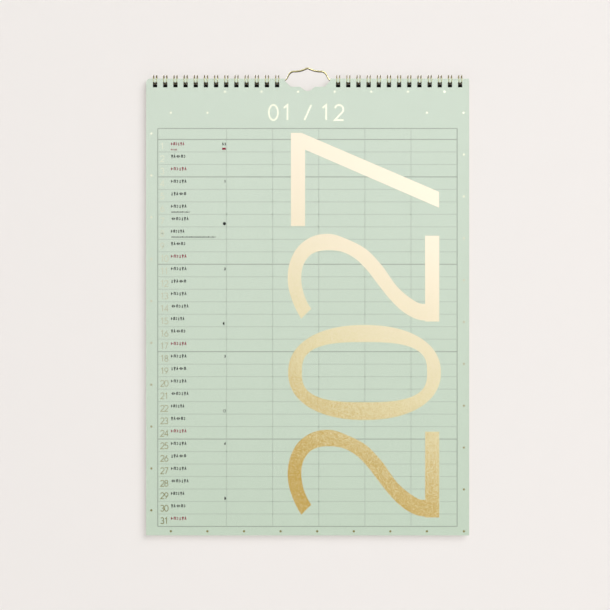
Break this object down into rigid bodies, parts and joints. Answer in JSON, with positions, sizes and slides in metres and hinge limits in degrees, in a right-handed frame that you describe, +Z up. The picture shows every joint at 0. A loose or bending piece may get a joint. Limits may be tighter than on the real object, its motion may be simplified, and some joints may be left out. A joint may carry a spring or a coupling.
{
  "type": "wall calendar",
  "caption": "A3 portrait wall calendar: mint month sheets and a clear front cover on twin-loop wire combs, hung from a wavy wire hanger over a thumb cut-out",
  "frame": {"origin": "the hook point: the underside of the hanger wire at its middle peak, where a nail or hook carries the calendar", "axes": "+Z up along the sheets' height, +X to the viewer's right along the bound edge, +Y into the wall; the printed face looks along -Y"},
  "size_m": [0.297, 0.0089, 0.4301],
  "materials": {
    "gold_wire": "champagne gold lacquered steel wire, glossy",
    "grey_board": "plain uncoated grey board",
    "mint_paper": "mint green printed uncoated paper, fine ruled table",
    "clear_film": "clear film with gold foil numerals"
  },
  "bodies": {
    "hanger": {"hanger_wire": "gold_wire"},
    "binding": {"wire_comb_left": "gold_wire", "wire_comb_right": "gold_wire", "back_board": "grey_board", "month_pages": "mint_paper"},
    "cover": {"front_cover": "clear_film"}
  },
  "joints": [
    {"name": "hanger_pivot", "type": "hinge", "parent": "hanger", "child": "binding", "pos_m": [0, 0, -0.01042], "axis": [-1, 0, 0], "range_deg": [0, 110]},
    {"name": "cover_turn", "type": "hinge", "parent": "binding", "child": "cover", "pos_m": [0, -0.00267, -0.00982], "axis": [-1, 0, 0], "range_deg": [0, 180]}
  ]
}
